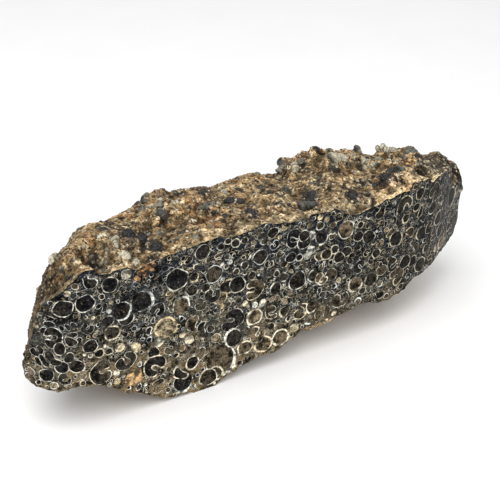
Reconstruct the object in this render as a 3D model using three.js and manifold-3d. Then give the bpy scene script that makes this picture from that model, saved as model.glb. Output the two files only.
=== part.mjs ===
// Turritella fossil: a long block of chert packed with fossil snail shells.
//
// The block is one solid. Its top, back, ends and underside are natural broken
// skin, with whole shells, lumps and pits. Its front was ground smooth: a long
// straight face with a facet turned back at each end.
//
// Millimetres, +X along the length, the ground face towards -Y, +Z up. The
// origin is the middle of the bounding box at the surface that the stone
// rests on.

import * as THREE from 'three';
import { ImprovedNoise } from 'three/addons/math/ImprovedNoise.js';
import { mergeVertices } from 'three/addons/utils/BufferGeometryUtils.js';
import Module from 'manifold-3d';

// ---------------------------------------------------------------------------
// Driving dimensions
// ---------------------------------------------------------------------------

// The block's profile at stations along its length.
const STATION = [ - 106, - 100, - 90, - 75, - 57, - 42, - 25, 0, 30, 55, 75, 90, 103 ];
const BACK = [ - 18, - 13, - 5, 4, 9, 12, 13, 15, 18, 12, 1, - 9, - 17 ];
const CREST = [ 58, 61, 63, 61, 60, 60, 61, 61, 61, 60, 59, 57, 52 ];
const KEEL = [ 17, 11, 8, 4, - 1, - 2, - 1.5, - 1.5, - 1, 3, 12, 19, 26 ];
const UNDERCUT = [ 0, 2, 5, 6, 6, 0, 7, 12, 15, 13, 10, 3, 0 ];
const UNDERCUT_REACH = 28;
const BROW = [ 0, 0, 0, 0, 1, 1, 0, 3, 5, 3, 3, 3, 3 ];
const BROW_REACH = 14;
const BACK_FALL = 5;
const BACK_FALL_REACH = 20;

const ROUGH_FRONT = - 43;
const SQUARENESS = 4.5;
const LEFT_LEAN = 0.28;
const LEFT_LEAN_START = - 70;

const MOUND = { x: 32, y: 4, height: 2.5, radius: 12 };

const SEGMENTS_LONG = 42;
const SEGMENTS_ROUND = 11;

// Uneven skin: size is the width of the swells, depth their height.
const RELIEF = [ { size: 31, depth: 5 }, { size: 13, depth: 4 } ];

// The ground front, in plan.
const FACE_Y = - 36;
const LEFT_BEND = { x: - 92, run: 40, turn: 45, round: 12 };
const RIGHT_BEND = { x: 55, run: 80, turn: 30, round: 20 };

// Snail shells: width to length, whorls, each whorl's share of the one before,
// depth of the seam between whorls, and where in a whorl its seam and bulge are.
const SHELL = { slender: 0.5, whorls: 5, taper: 0.78, seam: 0.2, sides: 7 };
const SEAM_AT = 0.05;
const BULGE_AT = 0.5;

// Whole shells that stand out of the skin: middle of the wide end, then tip.
const SHELLS = [
	// on the top
	[ [ 28, - 10, 62 ], [ 43, - 7, 62 ] ],
	[ [ 43, - 13, 60 ], [ 58, - 17, 60 ] ],
	[ [ 58, - 2, 59 ], [ 59, - 14, 59 ] ],
	[ [ 72, - 3, 56 ], [ 63, - 11, 59 ] ],
	[ [ 28, 3, 65 ], [ 40, 0, 64 ] ],
	[ [ 20, 4, 59 ], [ 15, - 6, 60 ] ],
	[ [ - 45, 0, 62 ], [ - 33, 2, 61 ] ],
	[ [ - 25, - 14, 61 ], [ - 20, - 24, 61 ] ],
	[ [ - 42, - 10, 63 ], [ - 50, - 19, 60 ] ],
	[ [ - 66, - 27, 62 ], [ - 68, - 37, 59 ] ],
	[ [ 49, - 31, 60 ], [ 63, - 30, 57 ] ],
	[ [ 3, - 34, 58 ], [ 18, - 36, 58 ] ],
	// on the back and the ends
	[ [ 0, 16, 46 ], [ - 13, 15, 48 ] ],
	[ [ 21, 13, 57 ], [ 30, 15, 51 ] ],
	[ [ 31, 20, 34 ], [ 43, 17, 29 ] ],
	[ [ - 5, 15, 24 ], [ 8, 16, 20 ] ],
	[ [ - 26, 13, 30 ], [ - 39, 12, 26 ] ],
	[ [ - 54, 11, 43 ], [ - 61, 8, 33 ] ],
	[ [ - 81, - 2, 39 ], [ - 87, - 4, 28 ] ],
	[ [ 64, 5, 41 ], [ 75, - 2, 38 ] ],
	[ [ 90, - 15, 41 ], [ 84, - 11, 31 ] ]
];

// Lumps half sunk in the top and the pits between them.
const TOP_LUMPS = [
	{ x: - 85, y: - 17, radius: 4 },
	{ x: - 61, y: - 23, radius: 6 },
	{ x: - 14, y: - 10, radius: 6 },
	{ x: - 15, y: - 26, radius: 5 },
	{ x: 13, y: - 22, radius: 6 },
	{ x: 27, y: - 29, radius: 5 },
	{ x: 44, y: - 26, radius: 5 },
	{ x: 66, y: - 12, radius: 5 }
];
const TOP_PITS = [
	{ x: 1, y: - 9, radius: 6 },
	{ x: - 74, y: - 28, radius: 6 },
	{ x: - 52, y: - 20, radius: 6 },
	{ x: 63, y: - 27, radius: 5 },
	{ x: - 30, y: - 4, radius: 5 }
];

// Places scattered over the back and the two ends: lumps, and now and then a
// pit. Each is found by looking in at the block from outside, at a heading that
// turns from the left end round the back to the right end.
const BACK_PLACES = 18;
const PIT_EVERY = 3;
const SEED = 7;
const UNEVEN = [ 0.2, 0.8 ];
const BACK_HEADING = [ 150, 30 ];
const BACK_X = [ - 85, 75 ];
const BACK_Y = - 15;
const BACK_Z = [ 25, 42 ];
const BACK_SLOPE = [ - 0.3, 0.5 ];
const BACK_LUMP_RADIUS = [ 3.5, 6 ];
const BACK_PIT_RADIUS = [ 3.5, 5 ];

// Lumps and pits: length, width and height in radii, and how far the middle
// is from the skin.
const NODULE = [ 1.2, 0.85, 0.7 ];
const LUMP_HEIGHT = - 0.3;
const PIT_HEIGHT = 0.2;

const STONE_COLOUR = 0x4d4234;

// ---------------------------------------------------------------------------
// Solids
// ---------------------------------------------------------------------------

const wasm = await Module();
wasm.setup();

function weld( geometry ) {

	geometry.deleteAttribute( 'normal' );
	geometry.deleteAttribute( 'uv' );
	const welded = mergeVertices( geometry, 1e-4 );
	const corners = [];
	for ( let i = 0; i < welded.index.count; i += 3 ) {

		const [ a, b, c ] = [ 0, 1, 2 ].map( ( k ) => welded.index.getX( i + k ) );
		if ( a !== b && b !== c && c !== a ) corners.push( a, b, c );

	}

	welded.setIndex( corners );
	return welded;

}

function solid( geometry ) {

	const welded = weld( geometry );
	return new wasm.Manifold( new wasm.Mesh( {
		numProp: 3,
		vertProperties: welded.attributes.position.array,
		triVerts: Uint32Array.from( welded.index.array )
	} ) );

}

function toGeometry( manifold ) {

	const mesh = manifold.getMesh();
	const geometry = new THREE.BufferGeometry();
	geometry.setAttribute( 'position', new THREE.BufferAttribute( mesh.vertProperties, 3 ) );
	geometry.setIndex( new THREE.BufferAttribute( mesh.triVerts, 1 ) );
	return geometry;

}

// ---------------------------------------------------------------------------
// The rough block
// ---------------------------------------------------------------------------

function profile( values ) {

	const curve = new THREE.CubicInterpolant( STATION, values, 1, new Float32Array( 1 ) );
	return ( x ) => curve.evaluate( x )[ 0 ];

}

const back = profile( BACK );
const crest = profile( CREST );
const keel = profile( KEEL );
const undercut = profile( UNDERCUT );
const brow = profile( BROW );

// 1 at an edge of the section, falling evenly to 0 at its reach.
function near( distance, reach ) {

	return THREE.MathUtils.clamp( 1 - distance / reach, 0, 1 );

}

function topHeight( x, y ) {

	const away = Math.hypot( x - MOUND.x, y - MOUND.y ) / MOUND.radius;
	const mound = MOUND.height * Math.exp( - away * away );
	const frontFall = brow( x ) * near( y - FACE_Y, BROW_REACH );
	const backFall = BACK_FALL * near( back( x ) - y, BACK_FALL_REACH ) ** 2;
	return crest( x ) + mound - frontFall - backFall;

}

function bottomHeight( x, y ) {

	return keel( x ) + undercut( x ) * near( y - FACE_Y, UNDERCUT_REACH );

}

// A cube's corners drawn in, so that every section has rounded edges.
function roundCube( p ) {

	const power = [ p.x, p.y, p.z ].reduce( ( sum, c ) => sum + Math.abs( c ) ** SQUARENESS, 0 );
	return p.multiplyScalar( power ** ( - 1 / SQUARENESS ) );

}

function toBlock( p ) {

	const { lerp } = THREE.MathUtils;
	const across = ( p.y + 1 ) / 2;
	const up = ( p.z + 1 ) / 2;
	const x = lerp( STATION[ 0 ], STATION.at( - 1 ), ( p.x + 1 ) / 2 );
	const y = lerp( ROUGH_FRONT, back( x ), across );
	const z = lerp( bottomHeight( x, y ), topHeight( x, y ), up );
	const leaning = near( x - STATION[ 0 ], LEFT_LEAN_START - STATION[ 0 ] );
	return p.set( x + LEFT_LEAN * leaning * Math.max( z - KEEL[ 0 ], 0 ), y, z );

}

const noise = new ImprovedNoise();

function relief( p ) {

	return RELIEF.reduce( ( sum, { size, depth } ) =>
		sum + depth * noise.noise( p.x / size, p.y / size, p.z / size ), 0 );

}

// Moves each vertex in or out along its normal by the relief at its place.
function roughen( geometry ) {

	const position = geometry.attributes.position;
	const p = new THREE.Vector3();
	const normal = new THREE.Vector3();
	geometry.computeVertexNormals();
	for ( let i = 0; i < position.count; i ++ ) {

		p.fromBufferAttribute( position, i );
		normal.fromBufferAttribute( geometry.attributes.normal, i );
		p.addScaledVector( normal, relief( p ) );
		position.setXYZ( i, p.x, p.y, p.z );

	}

	return geometry;

}

function roughBlock() {

	const cube = new THREE.BoxGeometry( 2, 2, 2, SEGMENTS_LONG, SEGMENTS_ROUND, SEGMENTS_ROUND );
	const geometry = weld( cube );
	const position = geometry.attributes.position;
	const p = new THREE.Vector3();
	for ( let i = 0; i < position.count; i ++ ) {

		toBlock( roundCube( p.fromBufferAttribute( position, i ) ) );
		position.setXYZ( i, p.x, p.y, p.z );

	}

	return roughen( geometry );

}

// ---------------------------------------------------------------------------
// Places on the skin
// ---------------------------------------------------------------------------

const block = new THREE.Mesh( roughBlock() );
const UP = new THREE.Vector3( 0, 0, 1 );
const FAR = 200;
const FULL_TURN = [ 0, 2 * Math.PI ];

function onSkin( from, direction ) {

	const hit = new THREE.Raycaster( from, direction ).intersectObject( block )[ 0 ];
	return { point: hit.point, normal: hit.face.normal };

}

// A place on the top, its normal turned halfway towards straight up.
function onTop( x, y ) {

	const place = onSkin( new THREE.Vector3( x, y, FAR ), UP.clone().negate() );
	place.normal.add( UP ).normalize();
	return place;

}

function random( range ) {

	return THREE.MathUtils.lerp( ...range, THREE.MathUtils.seededRandom() );

}

// A place on the back or an end, at a share of the way round.
function onBackOrEnd( share ) {

	const heading = THREE.MathUtils.degToRad( THREE.MathUtils.lerp( ...BACK_HEADING, share ) );
	const outward = new THREE.Vector3( Math.cos( heading ), Math.sin( heading ), random( BACK_SLOPE ) );
	const x = THREE.MathUtils.lerp( ...BACK_X, share );
	const middle = new THREE.Vector3( x, BACK_Y, random( BACK_Z ) );
	outward.normalize();
	const from = middle.addScaledVector( outward, FAR );
	return onSkin( from, outward.clone().negate() );

}

// Turns a piece by an angle about its own +Z and lays that along the normal.
function layOnSkin( geometry, { point, normal }, angle, height ) {

	const any = new THREE.Vector3( Math.cos( angle ), Math.sin( angle ), Math.sin( angle ) );
	const along = any.addScaledVector( normal, - any.dot( normal ) ).normalize();
	const across = new THREE.Vector3().crossVectors( normal, along );
	const matrix = new THREE.Matrix4().makeBasis( along, across, normal );
	matrix.setPosition( point.clone().addScaledVector( normal, height ) );
	return geometry.applyMatrix4( matrix );

}

// ---------------------------------------------------------------------------
// Shells, lumps and pits
// ---------------------------------------------------------------------------

// A tapering snail shell between the middle of its wide end and its tip.
function shell( wideEnd, tip ) {

	const axis = tip.clone().sub( wideEnd );
	const length = axis.length();
	const wide = length * SHELL.slender / 2;
	const reach = ( whorl ) => length * ( 1 - SHELL.taper ** whorl ) / ( 1 - SHELL.taper ** SHELL.whorls );
	const points = [ new THREE.Vector2( 0, 0 ) ];
	for ( let i = 0; i < SHELL.whorls; i ++ ) {

		const bulge = wide * SHELL.taper ** i;
		points.push( new THREE.Vector2( bulge * ( 1 - SHELL.seam ), reach( i + SEAM_AT ) ) );
		points.push( new THREE.Vector2( bulge, reach( i + BULGE_AT ) ) );

	}

	points.push( new THREE.Vector2( 0, length ) );
	const geometry = new THREE.LatheGeometry( points, SHELL.sides );
	const turn = new THREE.Quaternion();
	turn.setFromUnitVectors( new THREE.Vector3( 0, 1, 0 ), axis.normalize() );
	return geometry.applyQuaternion( turn ).translate( ...wideEnd.toArray() );

}

// A rounded, flattened body with the block's own unevenness.
function nodule( radius, place, height ) {

	const ball = new THREE.IcosahedronGeometry( radius, 1 ).scale( ...NODULE );
	const geometry = layOnSkin( weld( ball ), place, random( FULL_TURN ), radius * height );
	return solid( roughen( geometry ) );

}

// ---------------------------------------------------------------------------
// Cutters
// ---------------------------------------------------------------------------

// Everything behind the ground front, as a prism over the plan.
function behindGroundFace() {

	const left = LEFT_BEND;
	const right = RIGHT_BEND;
	const leftTurn = THREE.MathUtils.degToRad( left.turn );
	const rightTurn = THREE.MathUtils.degToRad( right.turn );
	const plan = new THREE.Shape();
	plan.moveTo( left.x - left.run * Math.cos( leftTurn ), FACE_Y + left.run * Math.sin( leftTurn ) );
	plan.lineTo( left.x - left.round * Math.cos( leftTurn ), FACE_Y + left.round * Math.sin( leftTurn ) );
	plan.quadraticCurveTo( left.x, FACE_Y, left.x + left.round, FACE_Y );
	plan.lineTo( right.x - right.round, FACE_Y );
	plan.quadraticCurveTo( right.x, FACE_Y,
		right.x + right.round * Math.cos( rightTurn ), FACE_Y + right.round * Math.sin( rightTurn ) );
	plan.lineTo( right.x + right.run * Math.cos( rightTurn ), FACE_Y + right.run * Math.sin( rightTurn ) );
	plan.lineTo( FAR, FAR );
	plan.lineTo( - FAR, FAR );
	const prism = new THREE.ExtrudeGeometry( plan, { depth: FAR, bevelEnabled: false, curveSegments: 5 } );
	return prism.translate( 0, 0, - FAR / 4 );

}

function belowGround() {

	return new THREE.BoxGeometry( 2 * FAR, 2 * FAR, FAR ).translate( 0, 0, - FAR / 2 );

}

// ---------------------------------------------------------------------------
// The stone
// ---------------------------------------------------------------------------

function fossilStone() {

	THREE.MathUtils.seededRandom( SEED );
	const lumps = TOP_LUMPS.map( ( { x, y, radius } ) => nodule( radius, onTop( x, y ), LUMP_HEIGHT ) );
	const pits = TOP_PITS.map( ( { x, y, radius } ) => nodule( radius, onTop( x, y ), PIT_HEIGHT ) );
	for ( let i = 0; i < BACK_PLACES; i ++ ) {

		const place = onBackOrEnd( ( i + random( UNEVEN ) ) / BACK_PLACES );
		if ( i % PIT_EVERY ) lumps.push( nodule( random( BACK_LUMP_RADIUS ), place, LUMP_HEIGHT ) );
		else pits.push( nodule( random( BACK_PIT_RADIUS ), place, PIT_HEIGHT ) );

	}

	const shells = SHELLS.map( ( [ wideEnd, tip ] ) =>
		solid( shell( new THREE.Vector3( ...wideEnd ), new THREE.Vector3( ...tip ) ) ) );
	let stone = solid( block.geometry.clone() );
	for ( const piece of [ ...lumps, ...shells ] ) stone = stone.add( piece );
	for ( const pit of pits ) stone = stone.subtract( pit );
	stone = stone.intersect( solid( behindGroundFace() ) ).subtract( solid( belowGround() ) );
	stone = stone.decompose().sort( ( a, b ) => b.volume() - a.volume() )[ 0 ];
	const geometry = toGeometry( stone );
	geometry.computeBoundingBox();
	const middle = geometry.boundingBox.getCenter( new THREE.Vector3() );
	return geometry.translate( - middle.x, - middle.y, 0 );

}

const object = new THREE.Group();
const stone = new THREE.Mesh(
	fossilStone(),
	new THREE.MeshStandardMaterial( { color: STONE_COLOUR, roughness: 0.7, metalness: 0 } )
);
stone.name = 'fossil_stone';
object.add( stone );

export default object;
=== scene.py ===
# %% [markdown]
# # A turritella fossil
#
# A long block of chert, packed with fossil snail shells. Its front was ground
# smooth, so that the saw shows the shells as rings, hooks and ladders. All
# the rest is natural skin: a brown crumbly rind with whole shells in it.
#
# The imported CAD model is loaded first. It is the fixed frame: the fine stone
# is made from a copy of it, at the same place and to the same size.

# %% Load the frame
import math
import random

import bpy
import numpy as np
from mathutils import Matrix, Vector, noise
from mathutils.bvhtree import BVHTree


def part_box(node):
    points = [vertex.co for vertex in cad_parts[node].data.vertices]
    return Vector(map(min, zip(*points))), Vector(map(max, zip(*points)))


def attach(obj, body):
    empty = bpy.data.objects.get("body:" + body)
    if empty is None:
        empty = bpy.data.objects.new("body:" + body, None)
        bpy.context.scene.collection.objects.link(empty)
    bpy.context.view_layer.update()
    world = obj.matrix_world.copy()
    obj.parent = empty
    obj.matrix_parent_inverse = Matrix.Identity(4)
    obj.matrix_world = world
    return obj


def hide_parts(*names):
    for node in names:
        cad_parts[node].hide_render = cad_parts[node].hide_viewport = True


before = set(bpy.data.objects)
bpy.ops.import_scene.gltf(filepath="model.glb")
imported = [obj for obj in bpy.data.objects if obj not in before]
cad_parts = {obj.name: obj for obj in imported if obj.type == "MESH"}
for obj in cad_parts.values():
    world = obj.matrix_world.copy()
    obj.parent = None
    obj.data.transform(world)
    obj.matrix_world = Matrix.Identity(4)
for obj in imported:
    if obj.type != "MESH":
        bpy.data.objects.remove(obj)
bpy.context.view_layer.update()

MM = 0.001
MM_PER_METRE = 1000.0
WELD = 0.001 * MM
LOW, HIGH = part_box("fossil_stone")
print("the stone is", [round(side / MM, 1) for side in HIGH - LOW], "mm")

# %% [markdown]
# ## Small helpers
#
# Blender's operators act on whatever is selected, and loading the frame leaves
# the CAD node selected. So every step starts by selecting one object alone.
# Faces are picked by where they are and which way they look, as a hand would
# pick them, and then an operator shapes them in edit mode.

# %% Helpers for operators
def only(piece):
    """Selects one object alone and makes it the active one."""
    bpy.ops.object.select_all(action="DESELECT")
    piece.select_set(True)
    bpy.context.view_layer.objects.active = piece
    return piece


def edit(piece, mode="FACE"):
    """Opens edit mode on one object."""
    only(piece)
    bpy.ops.object.mode_set(mode="EDIT")
    bpy.ops.mesh.select_mode(type=mode)


def done():
    bpy.ops.object.mode_set(mode="OBJECT")


def modify(piece, kind, **settings):
    """Adds one modifier with its settings and applies it."""
    modifier = piece.modifiers.new(kind.title(), kind)
    for key, value in settings.items():
        setattr(modifier, key, value)
    only(piece)
    bpy.ops.object.modifier_apply(modifier=modifier.name)


def pick_none(mesh):
    for part in (mesh.vertices, mesh.edges, mesh.polygons):
        part.foreach_set("select", [False] * len(part))


def pick_faces(piece, wanted):
    """Selects the faces for which wanted(centre, normal) is true."""
    mesh = piece.data
    pick_none(mesh)
    for face in mesh.polygons:
        face.select = wanted(face.center, face.normal)
    return sum(face.select for face in mesh.polygons)


def triangles(piece):
    return sum(len(face.vertices) - 2 for face in piece.data.polygons)


def points_of(mesh):
    """A mesh's vertices as rows of x, y, z."""
    flat = np.empty(len(mesh.vertices) * 3)
    mesh.vertices.foreach_get("co", flat)
    return flat.reshape(-1, 3)


def lowest(piece, axis):
    """The lowest x, y or z of a piece, in mm."""
    return round(points_of(piece.data)[:, axis].min() / MM, 1)


# %% [markdown]
# ## Camera, floor and light
#
# The stone lies on a pale table, seen from the front left and from well above,
# through a long lens, so that its long edges hardly draw together. One big soft
# light hangs over it, a weaker one fills in the ground front, and the pale world
# does the rest.

# %% Camera
AIM = Vector((5.4, 6.7, 29)) * MM
VIEW_TURN = math.radians(-30)
VIEW_RISE = math.radians(30)
VIEW_DISTANCE = 460 * MM


def from_aim(turn, rise, distance):
    """A point seen from the aim point at a turn from the front and a rise."""
    flat, up = math.cos(rise), math.sin(rise)
    return AIM + distance * Vector((math.sin(turn) * flat, -math.cos(turn) * flat, up))


def facing(place, target):
    """The rotation that turns a camera or a lamp at place towards a target."""
    return (target - place).to_track_quat("-Z", "Y").to_euler()


eye = from_aim(VIEW_TURN, VIEW_RISE, VIEW_DISTANCE)
bpy.ops.object.camera_add(location=eye, rotation=facing(eye, AIM))
camera = bpy.context.object
camera.data.lens = 85
camera.data.sensor_width = 36
camera.data.clip_start = 10 * MM
bpy.context.scene.camera = camera
bpy.context.scene.view_settings.view_transform = "Standard"
print("camera at", [round(v / MM) for v in eye], "mm")

# %% Lights
WORLD_STRENGTH = 0.58


def soft_light(name, turn, rise, distance, size, power):
    place = from_aim(math.radians(turn), math.radians(rise), distance)
    bpy.ops.object.light_add(type="AREA", location=place, rotation=facing(place, AIM))
    lamp = bpy.context.object
    lamp.name = name
    lamp.data.shape = "DISK"
    lamp.data.size = size
    lamp.data.energy = power
    print(name, "of", power, "W")


soft_light("overhead_light", turn=-60, rise=68, distance=0.9, size=1.0, power=7)
soft_light("front_light", turn=-5, rise=32, distance=1.0, size=0.7, power=2.5)

world = bpy.data.worlds.new("pale room")
bpy.context.scene.world = world
world.use_nodes = True
background = world.node_tree.nodes["Background"]
background.inputs["Color"].default_value = (1, 1, 1, 1)
background.inputs["Strength"].default_value = WORLD_STRENGTH

# %% [markdown]
# ## A way to write finishes
#
# Every finish here is a small graph of patterns. `Finish` is a thin wrapper
# round Blender's shader nodes: each method adds one node and gives back its
# output, so that a finish reads from top to bottom. All patterns are laid out
# in the stone's own millimetres.

# %% Finish builder
class Finish:
    """A material whose patterns are measured in millimetres on the stone."""

    def __init__(self, name):
        self.material = bpy.data.materials.new(name)
        self.material.use_nodes = True
        self.tree = self.material.node_tree
        self.shader = self.tree.nodes["Principled BSDF"]
        self.place = self.add("TexCoord").outputs["Object"]

    def add(self, kind, **settings):
        node = self.tree.nodes.new("ShaderNode" + kind)
        for key, value in settings.items():
            setattr(node, key, value)
        return node

    def feed(self, socket, value):
        """Links an output to a socket, or sets the socket's own value."""
        if isinstance(value, bpy.types.NodeSocket):
            self.tree.links.new(value, socket)
        else:
            socket.default_value = value

    def pattern(self, kind, size, place=None, **settings):
        """A pattern with features of about size mm, laid out over the stone."""
        node = self.add(kind, **settings)
        self.feed(node.inputs["Vector"], place or self.place)
        self.feed(node.inputs["Scale"], MM_PER_METRE / size)
        return node

    def swell(self, size, detail=2.0, rough=0.5, place=None):
        """Soft noise with swells about size mm across, as a value from 0 to 1."""
        node = self.pattern("TexNoise", size, place)
        self.feed(node.inputs["Detail"], detail)
        self.feed(node.inputs["Roughness"], rough)
        return node.outputs["Fac"]

    def wander(self, size, amount):
        """The place, pushed about by up to amount mm at swells of size mm."""
        node = self.pattern("TexNoise", size)
        middle = self.add("VectorMath", operation="SUBTRACT")
        self.feed(middle.inputs[0], node.outputs["Color"])
        self.feed(middle.inputs[1], (0.5, 0.5, 0.5))
        push = self.add("VectorMath", operation="MULTIPLY_ADD")
        self.feed(push.inputs[0], middle.outputs[0])
        self.feed(push.inputs[1], (2 * amount * MM,) * 3)
        self.feed(push.inputs[2], self.place)
        return push.outputs[0]

    def cells(self, size, feature="F1", output="Distance", place=None):
        """Voronoi cells about size mm across."""
        return self.pattern("TexVoronoi", size, place, feature=feature).outputs[output]

    def span(self, value, low, high, to_low=0.0, to_high=1.0):
        """Maps low..high to to_low..to_high, with soft ends."""
        node = self.add("MapRange", interpolation_type="SMOOTHSTEP")
        names = ("Value", "From Min", "From Max", "To Min", "To Max")
        for name, number in zip(names, (value, low, high, to_low, to_high)):
            self.feed(node.inputs[name], number)
        return node.outputs["Result"]

    def calc(self, operation, a, b=0.0):
        node = self.add("Math", operation=operation)
        self.feed(node.inputs[0], a)
        self.feed(node.inputs[1], b)
        return node.outputs[0]

    def times(self, a, b):
        return self.calc("MULTIPLY", a, b)

    def ramp(self, value, *stops):
        """Colours at stops along a value; a stop is (where, (r, g, b))."""
        node = self.add("ValToRGB")
        self.feed(node.inputs[0], value)
        elements = node.color_ramp.elements
        while len(elements) < len(stops):
            elements.new(1.0)
        for element, (where, colour) in zip(elements, stops):
            element.position = where
            element.color = (*colour, 1)
        return node.outputs["Color"]

    def mix(self, share, a, b, blend="MIX"):
        """Colour a, going over to colour b by a share."""
        node = self.add("Mix", data_type="RGBA", blend_type=blend)
        self.feed(node.inputs["Factor"], share)
        for name, value in (("A", a), ("B", b)):
            socket = next(s for s in node.inputs if s.name == name and s.type == "RGBA")
            self.feed(socket, (*value, 1) if isinstance(value, tuple) else value)
        return next(s for s in node.outputs if s.type == "RGBA")

    def shade(self, colour, value):
        """A colour made lighter or darker by a value."""
        node = self.add("VectorMath", operation="SCALE")
        self.feed(node.inputs[0], colour)
        self.feed(node.inputs["Scale"], value)
        return node.outputs[0]

    def vary(self, colour, value, low, high, at_low, at_high):
        """A colour times at_low to at_high, as a value goes from low to high."""
        return self.shade(colour, self.span(value, low, high, at_low, at_high))

    def axis(self, name):
        """How far along X, Y or Z a point of the stone is, in mm."""
        node = self.add("SeparateXYZ")
        self.feed(node.inputs[0], self.place)
        return self.times(node.outputs[name], MM_PER_METRE)

    def mark(self, name):
        """A number that the mesh carries at each point."""
        return self.add("Attribute", attribute_name=name).outputs["Fac"]

    def finish(self, colour, roughness, shine=0.5, bump=None, bump_depth=0.1):
        """Feeds the shader; shine is its specular level and bump_depth is in mm."""
        self.feed(self.shader.inputs["Base Color"], colour)
        self.feed(self.shader.inputs["Roughness"], roughness)
        self.shader.inputs["Specular IOR Level"].default_value = shine
        if bump:
            node = self.add("Bump")
            self.feed(node.inputs["Distance"], bump_depth * MM)
            self.feed(node.inputs["Height"], bump)
            self.feed(self.shader.inputs["Normal"], node.outputs[0])
        return self.material


# %% [markdown]
# ## The table
#
# A plain pale sheet of matt card. It isn't part of the fossil.

# %% Floor
TABLE_SIZE = 4

bpy.ops.mesh.primitive_plane_add(size=TABLE_SIZE)
floor = bpy.context.object
floor.name = "pale_table"
card = Finish("pale card")
white = card.ramp(card.swell(40), (0.3, (0.92, 0.92, 0.92)), (0.7, (0.94, 0.94, 0.94)))
floor.data.materials.append(card.finish(white, roughness=0.8))
print("table:", TABLE_SIZE, "m a side")

# %% [markdown]
# ## The fine stone, step 1: a body with stock to cut away
#
# The CAD stone has flat facets 4 mm across. Real chert skin has relief down to
# a grain, so the body is made again at about 0.7 mm, on the same form. A coarse
# mesh is easy to push about, so a few places of its outline that the facets cut
# short or left too full are pushed first, by Blender's proportional edit.
#
# Then the copy gets some stock on the ground front and under its foot. The stock
# is cut clean later, as a lapidary grinds a sawn rock, and that gives a crisp
# edge between the ground front and the rough skin.

# %% Copy the CAD stone
# points this near to a push move all the way, in mm
CORE = 5
# at, move and reach in mm
PUSHES = [
    ((-40, -29, 54), (0, 0, 6.5), 22),
    ((-61, -2, 58), (-1, 2, 4), 16),
    ((-24, 6, 59), (0, 1, 2.5), 12),
    ((-79, -13, 57), (-2, 1, 2.5), 9),
    ((37, 7, 65), (0, 0, -2.5), 9),
    ((-69, -16, 59), (0, 0, 3), 9),
    ((89, 0, 50), (1.5, 1.5, 1), 12),
    ((-48, -29, 5), (0, 0, -3.5), 8),
    ((-4, -29, 11), (0, 0, -4.5), 9),
    ((47, -28, 15), (0, 0, -2), 9),
]


def push(piece, at, move, reach):
    """Moves the core of points round a place, and those within reach less and less."""
    pick_none(piece.data)
    for vertex in piece.data.vertices:
        vertex.select = (vertex.co / MM - Vector(at)).length < CORE
    edit(piece, "VERT")
    bpy.ops.transform.translate(
        value=Vector(move) * MM,
        use_proportional_edit=True,
        proportional_edit_falloff="SMOOTH",
        proportional_size=reach * MM,
    )
    done()


stone = bpy.data.objects.new("chert_block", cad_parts["fossil_stone"].data.copy())
bpy.context.scene.collection.objects.link(stone)
edit(stone, "VERT")
bpy.ops.mesh.select_all(action="SELECT")
bpy.ops.mesh.remove_doubles(threshold=WELD)
bpy.ops.mesh.customdata_custom_splitnormals_clear()
done()
print("welded copy:", len(stone.data.vertices), "points")
for at, move, reach in PUSHES:
    push(stone, at, move, reach)

# %% Leave stock for grinding
GRINDING_STOCK = 4 * MM
FOOT_STOCK = 2.5 * MM
FOOT_LEVEL = 0.1 * MM
# what a face's normal shows: that it is upright, or looks forwards or down
UPRIGHT = 0.001
FACING_FRONT = -0.3
FACING_DOWN = -0.999


def on_ground_front(centre, normal):
    return abs(normal.z) < UPRIGHT and normal.y < FACING_FRONT


def under_foot(centre, normal):
    return normal.z < FACING_DOWN and centre.z < FOOT_LEVEL


picked = pick_faces(stone, on_ground_front)
edit(stone)
bpy.ops.mesh.extrude_region_move()
bpy.ops.transform.shrink_fatten(value=GRINDING_STOCK)
done()
print("ground front:", picked, "faces with stock; front now at", lowest(stone, 1))

picked = pick_faces(stone, under_foot)
edit(stone)
bpy.ops.mesh.extrude_region_move(TRANSFORM_OT_translate={"value": (0, 0, -FOOT_STOCK)})
done()
print("foot:", picked, "faces with stock; lowest point", lowest(stone, 2))

# %% [markdown]
# ## The fine stone, step 2: skin relief
#
# A voxel remesh gives even little faces everywhere, and a Smooth modifier takes
# the facets out. One more push turns the right end's top corner back. The relief
# is then laid on in sizes, from large to small, each by a Displace modifier with
# its own texture: swells, then cobbles where snails lie just under the skin,
# then pits, then grit.

# %% Remesh
VOXEL = 0.74 * MM

only(stone)
stone.data.remesh_voxel_size = VOXEL
bpy.ops.object.voxel_remesh()
modify(stone, "SMOOTH", factor=0.5, iterations=40)
push(stone, at=(90, -16, 56), move=(0, 7, -2), reach=14)
print("even faces:", triangles(stone), "triangles")


# %% Add relief
def relief(piece, name, kind, size, depth, middle=0.5, **settings):
    """Moves the skin in and out by depth mm with a pattern of size mm."""
    pattern = bpy.data.textures.new(name, kind)
    pattern.noise_scale = size * MM
    for key, value in settings.items():
        setattr(pattern, key, value)
    amount = {"strength": depth * MM, "mid_level": middle}
    modify(piece, "DISPLACE", texture=pattern, texture_coords="LOCAL", **amount)


relief(stone, "swells", "CLOUDS", size=9, depth=1.0, noise_depth=2)
relief(stone, "cobbles", "VORONOI", size=3.2, depth=-0.8, middle=0.45)
relief(stone, "pits", "STUCCI", size=4.5, depth=0.8, turbulence=8)
relief(stone, "crumbs", "CLOUDS", size=1.6, depth=1.0, noise_depth=2)
print("skin:", triangles(stone), "triangles")

# %% [markdown]
# ## The fine stone, step 3: the cut
#
# The ground front is one flat face with a facet turned back at each end, and
# each turn is rounded over. A block of that plan is made from a cube: two
# bisects take the corners off and a bevel rounds the two edges. What lies
# inside the block is kept by a Boolean, and the same cut gives the flat foot.

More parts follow.
